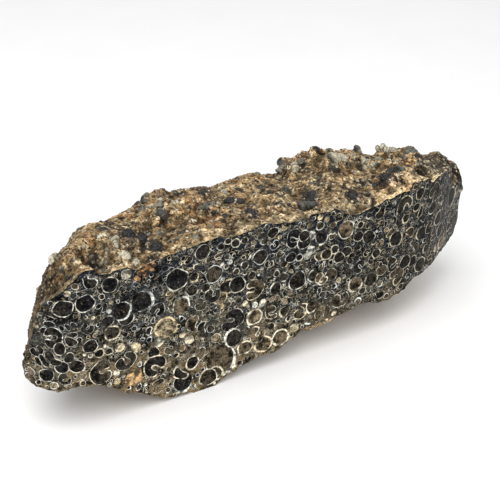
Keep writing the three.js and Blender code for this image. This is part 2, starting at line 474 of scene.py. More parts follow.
# %% Make the block that keeps what is inside it
FRONT = LOW.y
LEFT_BEND = {"x": -86.6 * MM, "turn": math.radians(45), "round": 12 * MM}
RIGHT_BEND = {"x": 60.4 * MM, "turn": math.radians(30), "round": 20 * MM}
ROOM = 200 * MM
BEND_STEPS = 24

bpy.ops.object.select_all(action="DESELECT")
bpy.ops.mesh.primitive_cube_add(
    size=1, location=(0, (FRONT + ROOM) / 2, ROOM / 2), scale=(2 * ROOM, ROOM - FRONT, ROOM)
)
keeper = bpy.context.object
bpy.ops.object.transform_apply(location=True, rotation=True, scale=True)
for bend, side in ((LEFT_BEND, -1), (RIGHT_BEND, 1)):
    edit(keeper)
    bpy.ops.mesh.select_all(action="SELECT")
    outward = (side * math.sin(bend["turn"]), -math.cos(bend["turn"]), 0)
    bpy.ops.mesh.bisect(
        plane_co=(bend["x"], FRONT, 0), plane_no=outward, use_fill=True, clear_outer=True
    )
    done()
for bend in (LEFT_BEND, RIGHT_BEND):
    pick_none(keeper.data)
    for edge in keeper.data.edges:
        a, b = (keeper.data.vertices[i].co for i in edge.vertices)
        upright = abs(a.z - b.z) > ROOM / 2
        edge.select = upright and (a - Vector((bend["x"], FRONT, a.z))).length < MM
    # edge mode has to be on first, or edit mode would drop the picked edges
    bpy.context.tool_settings.mesh_select_mode = (False, True, False)
    only(keeper)
    bpy.ops.object.mode_set(mode="EDIT")
    bpy.ops.mesh.bevel(offset=bend["round"], segments=BEND_STEPS, profile=0.5)
    done()
print("keeper:", len(keeper.data.polygons), "faces")

# %% Grind the front and the foot
modify(stone, "BOOLEAN", operation="INTERSECT", object=keeper, solver="MANIFOLD")
plan = points_of(keeper.data)
plan = plan[(plan[:, 2] < MM) & (plan[:, 1] < ROOM / 2)]
plan = plan[np.argsort(plan[:, 0]), :2]
bpy.data.objects.remove(keeper)
print("ground stone:", triangles(stone), "triangles")

# %% [markdown]
# ## What the skin knows about itself
#
# Hollows get painted shade and crests a painted highlight in the rind's colour. So each
# point gets a mark, `hollow`, that says how far it lies below the mean of its
# neighbourhood. A second mark, `near_front`, rises towards the ground front,
# where the rind is thin and pale. A third, `bare`, is 1 in the middle of a spot
# where the rind has broken off the black chert.

# %% Distances along the ground front
steps = np.diff(plan, axis=0)
travelled = np.concatenate([[0], np.cumsum(np.hypot(*steps.T))])
travelled -= np.interp(0, plan[:, 0], travelled)
heading = np.arctan2(steps[:, 1], steps[:, 0])
heading = np.concatenate([heading[:1], (heading[:-1] + heading[1:]) / 2, heading[-1:]])


def on_front(along, up, out):
    """Points in space from the distance along the ground front, the height and
    how proud they are. Along is the same as x on the straight middle."""
    known = (plan[:, 0], plan[:, 1], heading)
    x, y, turn = (np.interp(along, travelled, values) for values in known)
    up = np.broadcast_to(up, x.shape)
    return np.stack([x + np.sin(turn) * out, y - np.cos(turn) * out, up], 1)


print("plan of the front:", len(plan), "points")


# %% Helpers for marks
def add_mark(mesh, name, values):
    mark = mesh.attributes.new(name, "FLOAT", "POINT")
    mark.data.foreach_set("value", np.asarray(values, np.float32))


def normals_of(mesh):
    flat = np.empty(len(mesh.vertices) * 3)
    mesh.vertex_normals.foreach_get("vector", flat)
    return flat.reshape(-1, 3)


def settled(mesh, values, rounds):
    """Each point's values, averaged with its neighbours' again and again."""
    ends = np.empty(len(mesh.edges) * 2, int)
    mesh.edges.foreach_get("vertices", ends)
    a, b = ends.reshape(-1, 2).T
    count = np.bincount(ends, minlength=len(values))[:, None]
    for _ in range(rounds):
        total = np.zeros_like(values)
        for axis in range(3):
            total[:, axis] += np.bincount(a, values[b, axis], len(values))
            total[:, axis] += np.bincount(b, values[a, axis], len(values))
        values = 0.5 * (values + total / count)
    return values


# %% Mark the hollows and the distance to the ground front
# rounds of averaging that make a neighbourhood, and how far the thin rind
# reaches behind the front, in mm
ROUNDS = 24
THIN_RIND = 5
OUTLINE_REACH = 150
OUTLINE_STEP = 0.5

skin = points_of(stone.data)
lean = settled(stone.data, normals_of(stone.data), ROUNDS)
lean /= np.linalg.norm(lean, axis=1)[:, None]
hollow = ((settled(stone.data, skin, ROUNDS) - skin) * normals_of(stone.data)).sum(1) / MM
add_mark(stone.data, "hollow", hollow)
outline_at = np.arange(-OUTLINE_REACH, OUTLINE_REACH, OUTLINE_STEP) * MM
outline = on_front(outline_at, 0.0, 0.0)[:, :2]
behind = np.array([np.hypot(*(outline - p[:2]).T).min() for p in skin]) / MM
add_mark(stone.data, "near_front", np.exp(-behind / THIN_RIND))
print("deepest hollow", round(hollow.max(), 1), "mm; highest crest", round(-hollow.min(), 1), "mm")

# %% Mark the spots where the rind has broken off the top
TOP_FROM = 38 * MM
# Places on the top that are listed count from the middle that the stone had
# before it was centred on its box. This is how far it was moved, in mm.
SHIFT = np.array((5.4156, 6.6839, 0))
# x, y and reach in mm
BARE_CHERT = [
    (77, -17, 10), (88, -11, 8), (69, -21, 8), (60, -25, 5), (-61, -23, 5), (-54, -28, 5),
    (-75, -27, 4), (-44, -13, 3), (-14, -10, 4), (-15, -26, 5), (13, -22, 5), (20, -17, 3),
    (27, -29, 5), (44, -26, 5), (66, -12, 4), (36, -23, 4), (30, -12, 3), (2, -16, 3),
    (-30, 2, 4), (-66, -12, 4), (52, -21, 3), (73, -5, 4),
]
bare = np.zeros(len(skin))
for x, y, reach in BARE_CHERT:
    away = np.hypot(*((skin[:, :2] / MM - SHIFT[:2] - (x, y)).T)) / reach
    bare = np.maximum(bare, np.where(skin[:, 2] > TOP_FROM, 1 - away, 0))
add_mark(stone.data, "bare", bare)
print("bare spots:", len(BARE_CHERT))

# %% [markdown]
# ## The rind
#
# Weathered chert is tan to rust, and gritty, with blackish chert where the rind
# has broken off. The colour comes in sizes, as the relief does: patches,
# pebbles and grains, and then the hollows get painted shade and the crests a
# painted highlight. Below the top, both ends of the stone get painted shade,
# where they turn away from the light.

# %% Rind finish
PALE_RIND = (0.345, 0.268, 0.158)
BLACK_CHERT = (0.016, 0.016, 0.017)
CREAM = (0.430, 0.360, 0.235)
# where the painted shade on the ends begins, along the stone and below the top, in mm
LEFT_END = (-82, -66)
RIGHT_END = (84, 92)
END_TOP = (69, 82)
# how dark the painted shade on the ends makes the rind
END_SHADE = 0.22


def weathered_rind():
    f = Finish("weathered rind")
    patch = f.swell(16, detail=6, rough=0.7)
    colour = f.ramp(
        patch,
        (0.34, (0.040, 0.030, 0.022)),
        (0.43, (0.110, 0.074, 0.040)),
        (0.50, (0.225, 0.160, 0.084)),
        (0.57, (0.200, 0.122, 0.056)),
        (0.66, (0.172, 0.082, 0.034)),
    )
    near_front = f.span(f.mark("near_front"), 0.05, 0.6)
    pale = f.times(near_front, f.span(f.swell(13, detail=4), 0.38, 0.52))
    colour = f.mix(f.times(pale, 0.6), colour, PALE_RIND)
    black = f.span(f.swell(4.5, detail=5, rough=0.7), 0.54, 0.59)
    broken = f.calc("ADD", f.mark("bare"), f.times(f.swell(3, detail=5, rough=0.7), 1.6))
    bare_spot = f.times(f.span(broken, 1.0, 1.12), f.span(f.mark("bare"), 0, 0.1))
    black = f.calc("MAXIMUM", black, bare_spot)
    colour = f.mix(f.times(black, 0.9), colour, BLACK_CHERT)
    fleck = f.span(f.cells(1.3, output="Color", place=f.wander(1.2, 0.4)), 0.66, 0.80)
    colour = f.mix(f.times(fleck, 0.6), colour, CREAM)
    grain = f.swell(0.9, detail=6, rough=0.8)
    colour = f.vary(colour, grain, 0.38, 0.62, 0.28, 3.5)
    # painted shade darkens the hollows and a painted highlight lightens the crests
    colour = f.vary(colour, f.mark("hollow"), -0.5, 0.45, 1.25, 0.16)
    # painted shade on both ends of the stone below the top, where they turn away from the light
    ends = f.calc("ADD", f.span(f.axis("X"), *LEFT_END, 1, 0), f.span(f.axis("X"), *RIGHT_END))
    uneven_height = f.calc("ADD", f.axis("Z"), f.times(f.swell(9, detail=3), 20.0))
    ends = f.times(ends, f.span(uneven_height, *END_TOP, 1, 0))
    colour = f.mix(f.times(ends, 0.85), colour, f.shade(colour, END_SHADE))
    return f.finish(colour, f.span(black, 0, 1, 0.9, 0.5), shine=0.12, bump=grain, bump_depth=0.5)


# %% [markdown]
# ## The ground chert
#
# Between the shells the ground front is chert full of shell hash: black near the
# top, with a blue tint that is a painted sky reflection, and olive below, crossed
# by fine pale lines, which are the edges of crushed shells. The lines are the
# borders of Voronoi cells, pushed about and broken up. Grinding leaves a satin
# shine. Towards the right end the face is duller, so everything on it gets
# darker by `DULL_END`.

# %% Ground chert finish
# from and to along the stone in mm, and how light the colours are there
DULL_END = (0, 85, 1.0, 0.6)
PALE_LINE = (0.30, 0.29, 0.23)


def ground_chert():
    f = Finish("ground chert")
    depth = f.calc("ADD", f.axis("Z"), f.times(f.axis("X"), 0.12))
    depth = f.calc("ADD", depth, f.times(f.swell(14, detail=3), 50.0))
    # olive at the foot to black at the top; the top's blue tint is a painted sky reflection
    colour = f.ramp(
        f.span(depth, 27, 75),
        (0.0, (0.088, 0.063, 0.033)),
        (0.40, (0.020, 0.0195, 0.0155)),
        (1.0, (0.0066, 0.0082, 0.0108)),
    )
    colour = f.vary(colour, f.swell(5, detail=6, rough=0.75), 0.42, 0.58, 0.10, 2.2)
    colour = f.vary(colour, f.swell(0.5, detail=4, rough=0.8), 0.40, 0.62, 0.45, 2.0)
    edge = f.cells(1.6, feature="DISTANCE_TO_EDGE", place=f.wander(2.5, 1.6))
    broken = f.span(f.swell(2.4, detail=4, rough=0.6), 0.50, 0.60)
    colour = f.mix(f.times(f.span(edge, 0.0, 0.07, 0.55, 0), broken), colour, PALE_LINE)
    fleck = f.span(f.swell(1.0, detail=4, rough=0.7, place=f.wander(1.0, 0.4)), 0.55, 0.62)
    fleck = f.times(fleck, f.span(f.swell(6, detail=3), 0.40, 0.54))
    grey_to_tan = f.ramp(f.swell(3), (0.4, (0.20, 0.21, 0.19)), (0.6, (0.34, 0.27, 0.16)))
    colour = f.mix(f.times(fleck, 0.8), colour, grey_to_tan)
    colour = f.vary(colour, f.axis("X"), *DULL_END)
    satin = f.span(f.swell(5), 0.3, 0.7, 0.30, 0.50)
    return f.finish(colour, satin, shine=0.03, bump=f.swell(0.8, detail=3), bump_depth=0.03)


# %% Dress the stone
NEARLY_UPRIGHT = 0.01
ON_FRONT = 2 * MM

stone.data.materials.clear()
stone.data.materials.append(weathered_rind())
stone.data.materials.append(ground_chert())
front_faces = 0
for face in stone.data.polygons:
    if abs(face.normal.z) < NEARLY_UPRIGHT and face.normal.y < FACING_FRONT:
        near = np.hypot(*(outline - np.array(face.center)[:2]).T).min()
        if near < ON_FRONT:
            face.material_index = 1
            front_faces += 1
only(stone)
bpy.ops.object.shade_smooth_by_angle(angle=math.radians(50))
print(front_faces, "faces on the ground front")

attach(stone, "root")
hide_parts("fossil_stone")

# %% [markdown]
# ## Sections of the shells, step 1: a snail to saw up
#
# The rings on the ground front are slices through snail shells. Drawing each
# by hand would be slow and look drawn, so a snail is modelled and really sawn.
# A curve coils round a cone and gets a round bevel that shrinks with it: that
# is the tube that the animal lived in. A wide tube is the shell's outside and
# a narrower one its inside, so a saw cut through both gives wall and chamber.

# %% Coil a snail's tube
WHORL_RADIUS = 2.4 * MM
COIL_RADIUS = 2.9 * MM
WHORL_RISE = 4.9 * MM
SHRINK = 0.78
CONE_HEIGHT = WHORL_RISE / (1 - SHRINK)


def as_master(piece):
    """A piece's points and triangles, to be copied; the piece itself goes."""
    edit(piece)
    bpy.ops.mesh.select_all(action="SELECT")
    bpy.ops.mesh.quads_convert_to_tris()
    done()
    corners = points_of(piece.data)
    faces = np.array([tuple(face.vertices) for face in piece.data.polygons])
    bpy.data.objects.remove(piece)
    return corners, faces


def snail_tube(name, radius, whorls, steps=24, ring=3, dents=0.5, closed_in=(1,)):
    """A coiled tube with its wide end at the origin and its tip along +Z. Its
    ends are closed in by the given shares of its radius."""
    curve = bpy.data.curves.new(name, "CURVE")
    curve.dimensions = "3D"
    path = curve.splines.new("POLY")
    count = int(whorls * steps) + 1
    path.points.add(count - 1)
    for i, point in enumerate(path.points):
        whorl = i / steps
        scale = SHRINK**whorl
        angle = 2 * math.pi * whorl
        reach = COIL_RADIUS * scale
        point.co = (reach * math.cos(angle), reach * math.sin(angle), CONE_HEIGHT * (1 - scale), 1)
        point.radius = scale * closed_in[min(i, count - 1 - i, len(closed_in) - 1)]
    curve.bevel_depth = radius
    curve.bevel_resolution = ring
    curve.use_fill_caps = True
    tube = bpy.data.objects.new(name, curve)
    bpy.context.scene.collection.objects.link(tube)
    only(tube)
    bpy.ops.object.convert(target="MESH")
    tube = bpy.context.object
    edit(tube)
    bpy.ops.mesh.select_all(action="SELECT")
    bpy.ops.mesh.remove_doubles(threshold=WELD)
    bpy.ops.mesh.normals_make_consistent(inside=False)
    done()
    if dents:
        relief(tube, name + " dents", "CLOUDS", size=4, depth=dents)
    return tube


# %% Tubes to saw
# by how much a tube is narrower than the shell: its outside, and the insides of
# a thin and a bold wall
WALLS = {"shell": 0.0, "thin": 0.10, "bold": 0.20}
LIFE_WHORLS = 5
HALF_WHORL = 0.5
MAKES = {"fine": {"steps": 24, "ring": 7}, "plain": {"steps": 14, "ring": 3}}
tubes = {
    (make, whorls, layer): snail_tube(layer, WHORL_RADIUS * (1 - wall), whorls, **settings)
    for make, settings in MAKES.items()
    for whorls in (LIFE_WHORLS, HALF_WHORL)
    for layer, wall in WALLS.items()
}
print("snail:", round(CONE_HEIGHT / MM), "mm to the tip of its cone")

# %% [markdown]
# ## Sections of the shells, step 2: saw cuts
#
# A bisect with fill leaves only the sawn faces. Square to the axis it gives a
# ring with a tongue, along the axis a ladder of chambers, and anything between
# gives hooks, twins and rows. Each cut is turned flat and scaled to one unit.

# %% Saw cuts
# name: whorls of tube, height and side of the cut as shares, tilt and turn in degrees
SAW_CUTS = {
    "round": (HALF_WHORL, 0.00, 0.0, 90, 0),
    "oval": (HALF_WHORL, 0.00, 0.3, 68, 0),
    "egg": (HALF_WHORL, 0.00, 0.1, 115, 20),
    "notch": (LIFE_WHORLS, 0.12, 0.0, 25, 120),
    "hook": (LIFE_WHORLS, 0.06, 0.0, 25, 120),
    "curl": (LIFE_WHORLS, 0.18, 0.0, 25, 120),
    "cleft": (LIFE_WHORLS, 0.24, 0.0, 25, 0),
    "arch": (LIFE_WHORLS, 0.06, 0.0, 0, 0),
    "twin": (LIFE_WHORLS, 0.06, 0.0, 50, 180),
    "trio": (LIFE_WHORLS, 0.12, 0.0, 50, 0),
    "cluster": (LIFE_WHORLS, 0.24, 0.0, 50, 180),
    "row": (LIFE_WHORLS, 0.25, 0.9, 81, 0),
    "chain": (LIFE_WHORLS, 0.25, 1.3, 76, 7),
    "ladder": (LIFE_WHORLS, 0.25, 0.15, 95, 0),
    "steps": (LIFE_WHORLS, 0.25, 0.5, 90, 0),
    "bean": (LIFE_WHORLS, 0.25, 0.9, 104, 0),
}


# %% Helpers for sawing
# a sawn face smaller than this share of the largest is a chip
SPECK = 0.02
GRID_STEP = 0.3


def cut_in_place(piece, point, normal, **keep):
    edit(piece, "EDGE")
    bpy.ops.mesh.select_all(action="SELECT")
    bpy.ops.mesh.bisect(plane_co=point, plane_no=normal, **keep)
    done()


def sawn_face(tube, point, normal):
    """The sawn faces of a tube, flat in XY, looking up."""
    face = bpy.data.objects.new("sawn", tube.data.copy())
    bpy.context.scene.collection.objects.link(face)
    cut_in_place(face, point, normal, clear_inner=True, clear_outer=True)
    edit(face, "EDGE")
    bpy.ops.mesh.select_all(action="SELECT")
    bpy.ops.mesh.edge_face_add()
    done()
    largest = max(polygon.area for polygon in face.data.polygons)
    pick_none(face.data)
    for polygon in face.data.polygons:
        polygon.select = polygon.area < SPECK * largest
    edit(face)
    bpy.ops.mesh.delete(type="FACE")
    bpy.ops.mesh.select_mode(type="VERT")
    bpy.ops.mesh.select_all(action="SELECT")
    bpy.ops.mesh.delete_loose(use_faces=False)
    done()
    flat = normal.rotation_difference(Vector((0, 0, 1))).to_matrix().to_4x4()
    face.data.transform(flat @ Matrix.Translation(-point))
    return face


def as_plate(face, middle, reach, gridded):
    """A sawn face made one unit in radius and one unit thick, down from z = 1."""
    to_unit = Matrix.Diagonal((1 / reach, 1 / reach, 0, 1))
    face.data.transform(to_unit @ Matrix.Translation((*-middle, 0)))
    if gridded:
        for line in np.arange(-1 + GRID_STEP, 1, GRID_STEP):
            cut_in_place(face, (line, 0, 0), (1, 0, 0))
            cut_in_place(face, (0, line, 0), (0, 1, 0))
    pick_faces(face, lambda centre, normal: normal.z < 0)
    edit(face)
    bpy.ops.mesh.flip_normals()
    bpy.ops.mesh.select_all(action="SELECT")
    bpy.ops.mesh.extrude_region_move(TRANSFORM_OT_translate={"value": (0, 0, 1)})
    bpy.ops.mesh.select_all(action="SELECT")
    bpy.ops.mesh.normals_make_consistent(inside=False)
    done()
    return as_master(face)


# %% Saw the snail
sections = {}
for name, (whorls, rise, side, tilt, turn) in SAW_CUTS.items():
    point = Vector((side * COIL_RADIUS, 0, rise * CONE_HEIGHT))
    tilt, turn = math.radians(tilt), math.radians(turn)
    flat = math.sin(tilt)
    normal = Vector((flat * math.cos(turn), flat * math.sin(turn), math.cos(tilt)))
    for make in MAKES:
        for gridded in (False, True):
            sawn = {layer: sawn_face(tubes[make, whorls, layer], point, normal) for layer in WALLS}
            rim = points_of(sawn["shell"].data)[:, :2]
            middle = (rim.max(0) + rim.min(0)) / 2
            reach = np.hypot(*(rim - middle).T).max()
            sections[name, make, gridded] = {
                layer: as_plate(face, middle, reach, gridded) for layer, face in sawn.items()
            }
for tube in tubes.values():
    bpy.data.objects.remove(tube)
for name in SAW_CUTS:
    print(name, len(sections[name, "fine", False]["shell"][1]), "triangles")

# %% [markdown]
# ## Sections of the shells, step 3: laying them in the ground front
#
# A section is a closed plate let into the chert: shell wall first, and the
# chamber's filling a hair above it. The front is a flat sheet with two rounded
# folds, so a plate is laid out flat, by its distance along the front and its
# height, and its points are then wrapped round the folds. A plate near a fold
# is made from a master cut into a grid, so that it can bend. A light noise warps
# each copy, since no two snails are alike. `tone` says how cream the wall is
# or how brown the filling.

# %% Lay a section
PLATE_DEPTH = 0.4 * MM
PROUD = 0.02 * MM
PROUD_STEP = 0.024 * MM
BOLD_FROM_TONE = 0.38
FINE_FROM = 1.6 * MM
THIN_FROM = 2.2 * MM
CRESCENT_SHIFT = (0.16, 0.05)
WARP = 0.16
WARP_SCALE = 1.3
WARP_SEED = (7.3, 3.1)
# sections whose looks come from another's cut, and those that have no chamber
BORROWED = {"dot": "round", "crescent": "round", "patch": "bean"}
SOLID = ("dot", "patch")
laid = []
wall_parts, filling_parts = [], []
# noise_vector starts from the clock unless it is given a seed
noise.seed_set(4)


def warped(corners, seed):
    """Flat points bent by a slow noise that depends on the seed."""
    shift = Vector((seed * WARP_SEED[0], seed * WARP_SEED[1], 0))
    places = (Vector((x, y, 0)) * WARP_SCALE + shift for x, y, _ in corners)
    bend = np.array([tuple(noise.noise_vector(place)) for place in places])
    return corners[:, :2] + WARP * bend[:, :2]


def on_a_bend(along, radius):
    """Whether a disc on the front reaches one of the two folds."""
    from_left = abs(along - LEFT_BEND["x"]) - LEFT_BEND["round"]
    from_right = abs(along - RIGHT_BEND["x"]) - RIGHT_BEND["round"]
    return min(from_left, from_right) < radius


def free_level(rows, along, up, radius):
    """The lowest level that nothing laid under a disc has."""
    rows = np.reshape(rows, (-1, 4))
    taken = rows[np.hypot(rows[:, 0] - along, rows[:, 1] - up) < rows[:, 2] + radius, 3]
    return next(level for level in range(len(rows) + 1) if level not in taken)


def on_stone(corners, x, y, turn, along, up, proud):
    """A plate's points in space: its flat x and y are turned and carried to
    their place on the front, and its top stands proud."""
    cos, sin = math.cos(turn), math.sin(turn)
    out = np.where(corners[:, 2] > 0.5, proud, -PLATE_DEPTH)
    return on_front(along + x * cos - y * sin, up + x * sin + y * cos, out)


def lay_section(kind, along, up, radius, turn, tone, fill, mirror=1):
    """Adds one section's wall plate and filling plate; sizes in metres."""
    make = "fine" if radius > FINE_FROM else "plain"
    plates = sections[BORROWED.get(kind, kind), make, on_a_bend(along, radius)]
    layers = [("shell", wall_parts, tone, 0)]
    if kind not in SOLID:
        bold = tone >= BOLD_FROM_TONE or radius < THIN_FROM
        layers.append(("bold" if bold else "thin", filling_parts, fill, PROUD_STEP / 2))
    seed = len(laid)
    level = free_level(laid, along, up, radius)
    base = PROUD + PROUD_STEP * level
    for layer, parts, shade, lift in layers:
        corners, faces = plates[layer]
        flat = warped(corners, seed)
        if kind == "crescent" and layer != "shell":
            flat = flat + CRESCENT_SHIFT
        x, y = (flat * (radius * mirror, radius)).T
        points = on_stone(corners, x, y, turn, along, up, base + lift)
        parts.append((points, faces if mirror > 0 else faces[:, ::-1], shade))
    laid.append((along, up, radius, level))


# %% Join parts into a piece
def joined(name, parts, material):
    """One mesh from many parts, each with its own tone."""
    points, faces, values, start = [], [], [], 0
    for corners, part_faces, value in parts:
        points.append(corners)
        faces.append(part_faces + start)
        values.append(np.broadcast_to(value, len(corners)))
        start += len(corners)
    mesh = bpy.data.meshes.new(name)
    mesh.from_pydata(np.concatenate(points).tolist(), [], np.concatenate(faces).tolist())
    add_mark(mesh, "tone", np.concatenate(values))
    mesh.materials.append(material)
    piece = bpy.data.objects.new(name, mesh)
    bpy.context.scene.collection.objects.link(piece)
    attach(piece, "root")
    print(name, triangles(piece), "triangles")
    return piece


# %% [markdown]
# ## Sections of the shells, step 4: the ones that stand out
#
# The sections that catch the eye are laid one by one from a list, each with its
# place, size, kind, turn and colours. The rest is sown at random round them, the
# large ones first and the small ones in what room is left, as in the real rock.

# %% The sections that stand out
# along and up in mm, radius in mm, kind, turn in degrees, wall tone, filling tone
STAND_OUT = [
    (-58.2, 55.4, 1.9, "patch", 30, 0.92, 0.0), (-55.6, 56.6, 2.1, "patch", 15, 1.0, 0.0),
    (-52.9, 57.4, 1.7, "patch", 20, 0.95, 0.0), (-77.5, 50.5, 3.7, "round", 0, 0.15, 0),
    (-85, 50, 3.6, "round", 40, 0.2, 0.1), (-72, 47.5, 2.4, "twin", 20, 0.1, 0.1),
    (-70, 41.5, 2.4, "crescent", 200, 0.2, 0.1), (-64.5, 43.5, 3.6, "crescent", 120, 0.1, 0.1),
    (-63.5, 40.5, 3.2, "round", 10, 0.15, 0.2), (-57, 45, 4.4, "crescent", 150, 0.1, 0.05),
    (-48.5, 54, 4.4, "row", 80, 0, 0), (-44, 50, 4.8, "round", 10, 0.25, 0),
    (-51.5, 48.5, 3.6, "row", 0, 0, 0.2), (-62.5, 57.5, 2.1, "dot", 0, 0.35, 0.5),
    (-49, 32, 4.6, "round", 0, 0.6, 0.8), (-37, 29.5, 4.5, "hook", 90, 0.3, 0.55),
    (-90.5, 42.5, 3.2, "twin", 90, 0.05, 0.15), (-85.5, 42.5, 4.4, "row", 5, 0, 0.1),
    (-89, 38.5, 4.4, "hook", 200, 0.1, 0.25), (-82.5, 37.5, 3.2, "notch", 20, 0.1, 0.2),
    (-95, 33, 2.6, "notch", 100, 0.2, 0.1), (-89, 31.5, 9.8, "ladder", 20, 0.25, 0.15),
    (-77, 33.5, 2.9, "round", 0, 0.15, 0.1), (-92.5, 23.5, 2.9, "round", 0, 0.2, 0.05),
    (-87, 26.5, 2.7, "round", 0, 0.2, 0.05), (-82, 26.5, 2.9, "round", 0, 0.25, 0.2),
    (-86.5, 21.5, 2.7, "hook", 60, 0.3, 0.2), (-74, 22, 5.2, "notch", -10, 0.3, 0.35),
    (-62, 15.5, 3.5, "dot", 0, 0.82, 0.8), (-54, 17.5, 5.0, "notch", -60, 0.4, 0.1),
    (-54.5, 23, 3.0, "crescent", -20, 0.4, 0.1), (-64.5, 23, 4.2, "hook", 140, 0.3, 0.2),
    (-66.5, 29.5, 1.9, "dot", 0, 0.5, 0.5), (-60.5, 27.5, 2.1, "dot", 0, 0.55, 0.5),
    (-52, 26.5, 1.9, "dot", 0, 0.35, 0.5), (-40, 23.5, 1.9, "dot", 0, 0.45, 0.5),
    (-37, 17, 3.9, "twin", 10, 0.2, 0.45), (-42, 12, 5.7, "twin", -100, 0.4, 0.15),
    (-27.5, 10, 6.7, "crescent", 100, 0.25, 0.45), (-30, 5.5, 3.6, "round", -20, 0.4, 0.5),
    (-33, 5.0, 4.0, "round", -20, 0.3, 0.35), (-43.5, 6.0, 4.4, "crescent", 60, 0.15, 0.05),
    (-33.5, 26.5, 3.9, "twin", 200, 0.15, 0.25), (-22.5, 26, 5.0, "notch", 150, 0.15, 0.1),
    (-22.5, 19, 4.0, "crescent", -60, 0.2, 0.2), (-13.5, 24.5, 3.7, "round", 0, 0.4, 0.7),
    (-6.5, 24, 3.3, "hook", 30, 0.3, 0.4), (-13.5, 36, 4.5, "notch", 160, 0.45, 0.4),
    (-24, 41, 3.3, "crescent", 170, 0.5, 0.1), (-20.5, 40.5, 3.8, "round", 0, 0.25, 0.15),
    (-33, 43, 2.1, "round", 0, 0.3, 0.2), (-38.5, 43.5, 2.5, "round", 0, 0.2, 0.25),
    (-27.5, 37, 2.9, "round", 40, 0.5, 0.65), (-30.5, 39, 3.3, "notch", 60, 0.25, 0.1),
    (-23.5, 50.5, 1.1, "dot", 0, 0.15, 0.5), (-26.5, 50.5, 0.9, "dot", 0, 0.3, 0.5),
    (-34, 57.5, 3.2, "round", 90, 0.3, 0.1), (-10, 29.5, 1.7, "dot", 0, 0.35, 0.5),
    (-5, 29.5, 2.4, "twin", 40, 0.35, 0.6), (2.5, 52.5, 3.9, "hook", 0, 0.15, 0),
    (7, 50, 3.1, "round", 0, 0.2, 0.2), (10, 51.5, 2.1, "dot", 0, 0.2, 0.3),
    (1.5, 45, 2.5, "round", 0, 0.15, 0), (5, 44, 1.7, "round", 0, 0.2, 0.1),
    (10, 45.5, 2.1, "dot", 0, 0.2, 0.3), (8.5, 43.5, 1.5, "dot", 0, 0.25, 0.3),
    (14, 42, 2.3, "round", 0, 0.4, 0.4), (17, 42, 2.6, "round", 0, 0.45, 0.3),
    (20.5, 43, 2.1, "round", 0, 0.35, 0.1), (22.5, 39, 2.6, "round", 0, 0.3, 0.1),
    (25.5, 40.5, 2.6, "round", 0, 0.3, 0.1), (28, 37, 2.4, "hook", 0, 0.35, 0.1),
    (30.5, 39.5, 2.4, "notch", 0, 0.35, 0.2), (28, 33.5, 1.1, "dot", 0, 0.15, 0.3),
    (-17.5, 12.5, 3.4, "round", 0, 0.45, 0.45), (-10, 11.5, 4.1, "round", 10, 0.5, 0.6),
    (-12.5, 16.5, 4.0, "notch", 40, 0.4, 0.6), (-2.5, 12, 4.1, "round", 0, 0.4, 0.55),
    (6.5, 20.5, 3.8, "hook", 160, 0.5, 0.35), (11, 21, 2.7, "crescent", 30, 0.3, 0.4),
    (19, 32.5, 3.1, "round", 0, 0.35, 0.35), (15, 32, 3.1, "hook", 60, 0.4, 0.5),
    (7, 40.5, 2.1, "twin", -10, 0.4, 0.35), (11, 34.5, 2.6, "crescent", -30, 0.15, 0.3),
    (24, 20, 4.1, "hook", 120, 0.3, 0.35), (30.5, 25, 3.6, "round", 10, 0.4, 0.55),
    (34, 21, 1.8, "round", 0, 0.3, 0.3), (25, 30, 1.1, "dot", 0, 0.3, 0.4),
    (7, 52.5, 2.5, "round", 0, 0.2, 0.1), (31, 45.5, 2.4, "round", 0, 0.3, 0.1),
    (35.5, 44, 3.0, "round", 10, 0.3, 0.1), (44.5, 43.5, 2.6, "twin", 0, 0.55, 0.7),
    (51, 22, 4.6, "notch", 200, 0.45, 0.45), (53.5, 16, 1.6, "round", 0, 0.5, 0.3),
    (42.5, 27.5, 2.7, "round", 0, 0.3, 0.4), (37.5, 33.5, 2.2, "hook", 0, 0.3, 0.2),
    (41, 30.5, 2.0, "twin", 10, 0.35, 0.3), (48, 28, 3.6, "hook", 40, 0.3, 0.25),
    (42.5, 35, 1.8, "notch", 0, 0.4, 0.3), (39.5, 35.5, 2.2, "crescent", 90, 0.4, 0.3),
    (45, 31, 1.6, "twin", 40, 0.45, 0.3), (72.5, 29, 4.6, "row", 78, 0.45, 0.35),
    (55, 26.5, 3.4, "round", 0, 0.35, 0.1), (59.5, 25, 2.7, "round", 0, 0.35, 0.1),
    (63.5, 36, 3.1, "crescent", -30, 0.35, 0.2), (70.5, 44, 2.7, "crescent", 0, 0.2, 0.2),
    (84, 36, 1.5, "hook", 0, 0.3, 0.3), (94.5, 33.5, 2.5, "twin", 0, 0.45, 0.55),
    (61, 47, 3.9, "twin", 0, 0.4, 0.15), (53.5, 46, 2.2, "crescent", 30, 0.5, 0.2),
    (35, 53, 1.5, "crescent", 0, 0.15, 0.1), (16.5, 56.5, 1.4, "round", 0, 0.5, 0.75),
    (19.5, 53.5, 1.5, "crescent", 200, 0.5, 0.5), (13.5, 58, 1.2, "dot", 0, 0.6, 0.5),
    (-6, 57.4, 2.4, "round", 30, 0.35, 0.05), (-17.5, 57.5, 1.6, "round", 0, 0.3, 0.1),
    (-21, 57.5, 2.0, "round", 0, 0.3, 0.1), (-24, 59, 1.6, "round", 0, 0.35, 0.1),
    (-7.5, 45, 2.1, "hook", 100, 0.3, 0.15), (-1.5, 43, 1.7, "crescent", 30, 0.5, 0.1),
    (89.5, 27, 2.3, "round", 0, 0.4, 0.35), (68, 27, 2.3, "crescent", 0, 0.4, 0.3),
]

# %% Lay them where the ground chert is
LOOK_FROM = 6 * MM
FLUSH = 0.3 * MM
AROUND = [(math.cos(a), math.sin(a)) for a in np.linspace(0, 2 * math.pi, 8, endpoint=False)]
INSIDE = 0.85
tree = BVHTree.FromObject(stone, bpy.context.evaluated_depsgraph_get())


